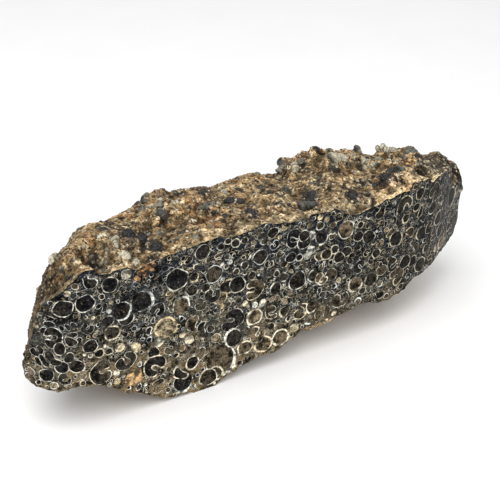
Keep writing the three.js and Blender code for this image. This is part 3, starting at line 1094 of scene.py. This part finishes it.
def on_ground(along, up, reach):
    """Whether a disc on the front lies on ground chert all over."""
    spots = [(0, 0)] + AROUND
    a = np.array([along + reach * x for x, _ in spots])
    z = np.array([up + reach * y for _, y in spots])
    for start, foot in zip(on_front(a, z, LOOK_FROM), on_front(a, z, 0.0)):
        hit = tree.ray_cast(Vector(start), Vector(foot - start))[0]
        if hit is None or (hit - Vector(foot)).length > FLUSH:
            return False
    return True


for along, up, radius, kind, turn, tone, fill in STAND_OUT:
    if on_ground(along * MM, up * MM, INSIDE * radius * MM):
        lay_section(kind, along * MM, up * MM, radius * MM, math.radians(turn), tone, fill)
print("laid by hand:", len(laid), "of", len(STAND_OUT))

# %% Sow the rest
# radius in mm and number of tries
SOWN_SIZES = [(4.3, 500), (3.6, 600), (3.0, 800), (2.4, 1200)]
SOWN_SIZES += [(1.9, 1600), (1.4, 2600), (1.0, 3600), (0.7, 4500)]
SIZE_SPREAD = (0.85, 1.15)
BIG_KINDS = ["round", "round", "round", "oval", "oval", "egg", "egg", "crescent", "crescent"]
BIG_KINDS += ["curl", "cleft", "arch", "twin", "trio", "row", "bean", "notch"]
SMALL_KINDS = ["round", "round", "oval", "oval", "egg", "crescent", "crescent"]
SMALL_KINDS += ["dot", "hook", "bean"]
SMALL = 1.5
CLOSE = 0.93
ABOVE_FOOT = 1.3
FRONT_REACH = (-128, 128)
FRONT_RISE = (1, 66)
# mean and spread of the wall's tone and of the filling's, low and high on the front
WALL_TONE = (0.25, 0.18)
LOW_FILL, HIGH_FILL = (0.40, 0.28), (0.20, 0.20)
LOW_FRONT = 30 * MM


def random_place():
    """A distance along the front and a height, in metres."""
    return random.uniform(*FRONT_REACH) * MM, random.uniform(*FRONT_RISE) * MM


random.seed(11)
for size, tries in SOWN_SIZES:
    before = len(laid)
    for _ in range(tries):
        along, up = random_place()
        radius = size * random.uniform(*SIZE_SPREAD) * MM
        gap = np.array(laid)[:, :3] - (along, up, 0)
        if (np.hypot(gap[:, 0], gap[:, 1]) < CLOSE * (gap[:, 2] + radius)).any():
            continue
        if up < ABOVE_FOOT * radius or not on_ground(along, up, radius):
            continue
        kind = random.choice(SMALL_KINDS if size < SMALL else BIG_KINDS)
        tone = min(1, abs(random.gauss(*WALL_TONE)))
        fill = min(0.9, abs(random.gauss(*(LOW_FILL if up < LOW_FRONT else HIGH_FILL))))
        turn = random.uniform(0, 2 * math.pi)
        lay_section(kind, along, up, radius, turn, tone, fill, mirror=random.choice((1, -1)))
    print("sown at", size, "mm:", len(laid) - before)


# %% [markdown]
# ## Shell wall and chamber filling
#
# The wall has turned to white or cream chalcedony, mottled and a little
# stained. The chambers hold dark chert to brown silt with grains in it.

# %% Wall and filling finishes
# from and to up the stone in mm, and how light the walls are there
LIGHT_FOOT = (10, 45, 1.3, 1.0)


def silicified_wall(name, light):
    f = Finish(name)
    colour = f.ramp(
        f.mark("tone"),
        (0.0, (0.54, 0.57, 0.55)),
        (0.3, (0.54, 0.51, 0.41)),
        (0.6, (0.54, 0.43, 0.25)),
        (0.8, (0.46, 0.30, 0.14)),
        (1.0, (0.30, 0.13, 0.045)),
    )
    colour = f.vary(f.shade(colour, light), f.axis("X"), *DULL_END)
    colour = f.vary(colour, f.axis("Z"), *LIGHT_FOOT)
    worn = f.swell(2.4, detail=4, rough=0.6)
    colour = f.vary(colour, worn, 0.39, 0.60, 0.10, 1.25)
    mottle = f.swell(0.9, detail=4, rough=0.7)
    colour = f.vary(colour, mottle, 0.34, 0.60, 0.45, 1.15)
    return f.finish(colour, 0.4, shine=0.2, bump=mottle, bump_depth=0.03)


def chamber_filling():
    f = Finish("chamber filling")
    colour = f.ramp(
        f.mark("tone"),
        (0.0, (0.006, 0.006, 0.007)),
        (0.3, (0.022, 0.019, 0.014)),
        (0.6, (0.095, 0.072, 0.044)),
        (1.0, (0.260, 0.220, 0.140)),
    )
    colour = f.vary(colour, f.swell(2.5, detail=6, rough=0.75), 0.40, 0.60, 0.10, 2.0)
    colour = f.vary(colour, f.swell(0.5, detail=4, rough=0.8), 0.40, 0.62, 0.45, 2.0)
    fleck = f.span(f.swell(0.9, detail=4, rough=0.7, place=f.wander(1.0, 0.4)), 0.59, 0.67)
    grey_to_brown = f.ramp(f.swell(3), (0.4, (0.15, 0.15, 0.13)), (0.6, (0.24, 0.17, 0.09)))
    colour = f.mix(f.times(fleck, 0.7), colour, grey_to_brown)
    colour = f.vary(colour, f.axis("X"), *DULL_END)
    return f.finish(colour, 0.4, shine=0.03, bump=f.swell(0.8), bump_depth=0.02)


# %% Join the sections
joined("shell_section_walls", wall_parts, silicified_wall("silicified shell wall", light=1.15))
joined("chamber_fillings", filling_parts, chamber_filling())

# %% [markdown]
# ## Shell hash
#
# Most of the shells were crushed to splinters, which the cut shows as short
# curved pale lines between the rings. A splinter is a thin strip, narrower to
# its ends. Each copy is stretched, bent to an arc, turned, and laid a hair lower
# than the rings, so that a ring always lies over it.

# %% Splinters between the rings
SPLINTERS = 3200
SPLINTER_PROUD = 0.004 * MM
SPLINTER_STEP = 0.0012 * MM
SPLINTER_LEVELS = 12
# half lengths, half widths and rise of the arc in mm, and spread of the turn
HALF_LENGTH = (0.4, 1.8)
HALF_WIDTH = (0.05, 0.13)
ARC = (-0.5, 0.5)
TURN_SPREAD = 0.8
NARROWED = 0.85
SPLINTER_TONE = (0.3, 0.25)
# splinters lie in beds of this length and height; a share of them strays
BED_LENGTH, BED_HEIGHT = 12 * MM, 7 * MM
STRAYING = (-0.5, 0.3)

bpy.ops.object.select_all(action="DESELECT")
bpy.ops.mesh.primitive_grid_add(x_subdivisions=4, y_subdivisions=1, size=2)
splinter, splinter_faces = as_plate(bpy.context.object, np.zeros(2), reach=1, gridded=False)
taper = 1 - NARROWED * splinter[:, 0] ** 2
hash_parts, splintered = [], np.zeros((SPLINTERS, 4))
random.seed(5)
while len(hash_parts) < SPLINTERS:
    along, up = random_place()
    half = random.uniform(*HALF_LENGTH) * MM
    crowd = noise.noise(Vector((along / BED_LENGTH, 0, up / BED_HEIGHT)))
    if crowd < random.uniform(*STRAYING) or not on_ground(along, up, half):
        continue
    level = free_level(splintered[: len(hash_parts)], along, up, half)
    if level == SPLINTER_LEVELS:
        continue
    splintered[len(hash_parts)] = along, up, half, level
    turn = random.gauss(0, TURN_SPREAD)
    x = splinter[:, 0] * half
    y = splinter[:, 1] * taper * random.uniform(*HALF_WIDTH) * MM
    y = y + random.uniform(*ARC) * x**2 / half
    proud = SPLINTER_PROUD + SPLINTER_STEP * level
    points = on_stone(splinter, x, y, turn, along, up, proud)
    hash_parts.append((points, splinter_faces, min(1, abs(random.gauss(*SPLINTER_TONE)))))
joined("shell_hash", hash_parts, silicified_wall("crushed shell", light=0.8))

# %% [markdown]
# ## Whole shells on the skin
#
# On the weathered side the shells stand out whole, half sunk in the rind. They
# are the same coiled tube as was sawn up, uncut, a little fatter so that its
# whorls touch. `shade` is 1 on the crest of a whorl and 0 in the groove between
# two whorls, and darkens the groove with painted shade. Pebbles, domes of single
# whorls and crumbs are balls with dents.

# %% Shells to copy
FAT = 1.25
ROUNDED = (0.3, 0.75, 0.95, 1)
# distance from the axis as shares of the crest's, where shade is 0 and where it is 1
GROOVE = 0.58
GROOVE_TO_CREST = 0.34


def snail_master(name, whorls, steps, ring):
    tube = snail_tube(name, FAT * WHORL_RADIUS, whorls, steps, ring, dents=0, closed_in=ROUNDED)
    corners, faces = as_master(tube)
    crest = (COIL_RADIUS + FAT * WHORL_RADIUS) * (1 - corners[:, 2] / CONE_HEIGHT)
    from_axis = np.hypot(corners[:, 0], corners[:, 1]) / crest
    shade = np.clip((from_axis - GROOVE) / GROOVE_TO_CREST, 0, 1)
    print(name, len(faces), "triangles")
    return corners / CONE_HEIGHT, faces, shade


whole_shell = snail_master("whole shell", LIFE_WHORLS, steps=14, ring=3)
young_shell = snail_master("young shell", LIFE_WHORLS - 1, steps=10, ring=2)
whorl_stub = snail_master("whorl stub", 0.7, steps=8, ring=2)


# %% Balls to copy
def ball_master(name, fineness, *dents):
    """A dented ball. It is 1 m in radius, so a dent's size and depth are in
    thousandths of the radius."""
    bpy.ops.object.select_all(action="DESELECT")
    bpy.ops.mesh.primitive_ico_sphere_add(subdivisions=fineness, radius=1)
    ball = bpy.context.object
    for kind, settings in dents:
        relief(ball, name + " dents", kind, **settings)
    corners, faces = as_master(ball)
    print(name, len(faces), "triangles")
    return corners, faces, np.ones(len(corners))


pebble = ball_master("pebble", 2, ("CLOUDS", {"size": 900, "depth": 180}))
dome = ball_master(
    "dome",
    4,
    ("CLOUDS", {"size": 450, "depth": 600, "noise_depth": 3}),
    ("VORONOI", {"size": 350, "depth": -450}),
)
crumb = ball_master("crumb", 1, ("CLOUDS", {"size": 900, "depth": 900}))


# %% Place a copy
# how much of a copy's tone is left in a groove between whorls, under painted shade
PAINTED_GROOVE_SHADE = 0.25


def place(parts, master, at, direction, up, size, tone):
    """Adds a copy of a master with its Z along a direction and its X up."""
    corners, faces, shade = master
    z = direction / np.linalg.norm(direction)
    y = np.cross(z, up)
    y /= np.linalg.norm(y)
    turn = np.stack([np.cross(y, z), y, z])
    # each point's tone is the copy's tone, darkened by painted shade in the grooves
    tones = tone * (PAINTED_GROOVE_SHADE + (1 - PAINTED_GROOVE_SHADE) * shade)
    parts.append((corners @ turn * size + at, faces, tones))


# %% Whole shells, listed
SHELL_SIZE = 0.85
SIDE_UP = 0.7
# wide end and tip in mm, with no height where they lie on the top, and tone
WHOLE_SHELLS = [
    ((29, -10), (43, -6), 0.95), ((42, -13), (55, -16), 0.75),
    ((49, -10), (40, -12), 0.45), ((57, -3), (60, -13), 0.90),
    ((72, -3), (64, -9), 0.60), ((30, 1), (33, 8), 0.30),
    ((35, 0), (41, 3), 0.70), ((20, 0), (15, -8), 0.85),
    ((16, 6), (24, 8), 0.55), ((49, 2), (57, 5), 0.85),
    ((-45, 0), (-33, 2), 0.35), ((-25, -14), (-20, -23), 0.45),
    ((-42, -10), (-50, -18), 0.50), ((-66, -23), (-68, -31), 0.80),
    ((49, -25), (60, -24), 0.35), ((5, -27), (17, -28), 0.30),
    ((0, 16, 46), (-13, 15, 48), 0.60), ((21, 13, 57), (30, 15, 51), 0.70),
    ((31, 20, 34), (43, 17, 29), 0.45), ((-5, 15, 24), (8, 16, 20), 0.80),
    ((-26, 13, 30), (-39, 12, 26), 0.50), ((-54, 11, 43), (-61, 8, 33), 0.65),
    ((-81, -2, 39), (-87, -4, 28), 0.40), ((64, 5, 41), (75, -2, 38), 0.55),
    ((90, -15, 41), (84, -11, 31), 0.70),
]
# where a ray starts that looks for the top, and how far a shell lies above it
OVERHEAD = 80
LIFT = 0.4


def seated(x, y, z=None):
    """The place of a shell's end; with no height it is laid on the top."""
    if z is None:
        above = Vector((x + SHIFT[0], y + SHIFT[1], OVERHEAD)) * MM
        z = tree.ray_cast(above, Vector((0, 0, -1)))[0].z / MM + LIFT
    return (np.array((x, y, z)) + SHIFT) * MM


shell_parts = []
random.seed(3)
for wide, tip, tone in WHOLE_SHELLS:
    wide, tip = (seated(*end) for end in (wide, tip))
    spin = random.uniform(0, 2 * math.pi)
    up = np.array((math.cos(spin), math.sin(spin), SIDE_UP))
    size = SHELL_SIZE * np.linalg.norm(tip - wide)
    place(shell_parts, whole_shell, wide, tip - wide, up, size, tone)
print("whole shells:", len(shell_parts))

# %% [markdown]
# ## Domes
#
# Where a snail stands upright in the rock, only the round back of one whorl
# looks out of the rind: mostly black chert, and now and then pale shell. The
# ones that show are set on the top one by one from a list, half sunk.

# %% Domes of single whorls, listed
SUNK = 0.5
TILT = 0.5
# x, y and radius in mm, and tone
DOMES = [
    (-85, -17, 2.4, 0.95), (-66, -31, 1.9, 0.95), (-63, -33, 1.4, 0.85),
    (-61, -23, 2.4, 0.05), (-57, -25, 1.8, 0.09), (-54, -29, 2.0, 0.10),
    (-44, -14, 2.0, 0.25), (-25, -12, 2.2, 0.35), (-14, -10, 2.0, 0.10),
    (-11, -12, 1.5, 0.12), (-15, -26, 2.0, 0.10), (12, -23, 2.2, 0.09),
    (15, -20, 1.7, 0.14), (8, -12, 1.9, 0.20), (27, -29, 2.0, 0.08),
    (44, -26, 2.0, 0.10), (47, -24, 1.5, 0.14), (66, -12, 2.8, 0.38),
    (71, -1, 2.4, 0.60), (36, -9, 1.7, 0.90), (53, -9, 2.2, 0.55),
    (55, -12, 1.9, 0.95), (63, -4, 2.1, 0.80), (25, 4, 1.8, 0.45),
]
lump_parts, crumb_parts = [], []
for x, y, radius, tone in DOMES:
    at = seated(x, y) - np.array((0, 0, SUNK * radius * MM))
    direction = np.array((math.cos(x), math.sin(x), TILT))
    place(lump_parts, dome, at, direction, np.array((0, 0, 1)), radius * MM, tone)
print("domes:", len(lump_parts))

# %% [markdown]
# ## What lies all over the skin
#
# Young shells, stubs of broken whorls, pebbles and crumbs cover the skin on all
# sides. Each is sown on a random point of the skin, lies along it, and is sunk
# in it. Large ones keep clear of the ground front, where they would stick out
# past the cut, and all of them keep clear of the foot.

# %% Sow them on the skin
FOOT_CLEAR = 3.5 * MM
TONE_SPREAD = (0.8, 1.2)
sowing = np.random.default_rng(8)


def sow(parts, master, count, sizes, sunk, tones, clear):
    """Sows copies on the skin, lying down, with their middles sunk below it by a
    share of their size, and at least clear mm behind the ground front."""
    on_skin = np.flatnonzero((behind > clear) & (skin[:, 2] > FOOT_CLEAR))
    for spot in sowing.choice(on_skin, count, replace=False):
        size = sowing.uniform(*sizes) * MM
        direction = np.cross(lean[spot], sowing.normal(size=3))
        at = skin[spot] - sunk * size * lean[spot]
        tone = sowing.choice(tones) * sowing.uniform(*TONE_SPREAD)
        place(parts, master, at, direction, lean[spot], size, tone)
    print("sown:", count)


sow(shell_parts, young_shell, 70, (4.5, 9), 0.12, (0.4, 0.6, 0.8, 1.0), clear=9)
sow(lump_parts, whorl_stub, 260, (4.5, 9), 0.16, (0.1, 0.2, 0.35, 0.55, 0.8), clear=4)
sow(lump_parts, pebble, 260, (0.6, 1.6), 0.5, (0.08, 0.15, 0.25, 0.4, 0.6), clear=3)
sow(crumb_parts, crumb, 5600, (0.25, 0.65), 0.35, (0.05, 0.2, 0.35, 0.5, 0.7, 0.9), clear=1.5)


# %% [markdown]
# ## Finishes of the shells and crumbs
#
# Both finishes read the tone that each copy carries, so that one material gives
# black, grey and cream shells. Stains and grit break the colour up.

# %% Shell and crumb finishes
GRIT = (0.16, 0.14, 0.10)


def weathered_shell():
    f = Finish("weathered shell")
    colour = f.ramp(
        f.mark("tone"),
        (0.0, (0.010, 0.010, 0.010)),
        (0.15, (0.030, 0.031, 0.030)),
        (0.40, (0.120, 0.120, 0.095)),
        (0.70, (0.330, 0.290, 0.205)),
        (1.0, (0.560, 0.510, 0.390)),
    )
    stain = f.swell(1.4, detail=5, rough=0.75)
    colour = f.vary(colour, stain, 0.32, 0.62, 0.25, 1.35)
    grit = f.span(f.swell(0.7, detail=4, rough=0.7), 0.56, 0.66)
    colour = f.mix(f.times(grit, 0.45), colour, GRIT)
    return f.finish(colour, 0.5, shine=0.25, bump=stain, bump_depth=0.1)


def rind_crumbs():
    f = Finish("rind crumbs")
    colour = f.ramp(
        f.mark("tone"),
        (0.0, (0.012, 0.011, 0.010)),
        (0.25, (0.080, 0.052, 0.028)),
        (0.45, (0.200, 0.135, 0.070)),
        (0.60, (0.160, 0.084, 0.036)),
        (0.80, (0.330, 0.260, 0.155)),
        (1.0, (0.480, 0.420, 0.300)),
    )
    colour = f.vary(colour, f.swell(0.7, detail=3), 0.3, 0.7, 0.5, 1.4)
    return f.finish(colour, 0.9, shine=0.12)


# %% Join them
shell_finish = weathered_shell()
for name, parts in (("whole_shells", shell_parts), ("whorl_stubs_and_pebbles", lump_parts)):
    only(joined(name, parts, shell_finish))
    bpy.ops.object.shade_smooth()
joined("rind_crumbs", crumb_parts, rind_crumbs())
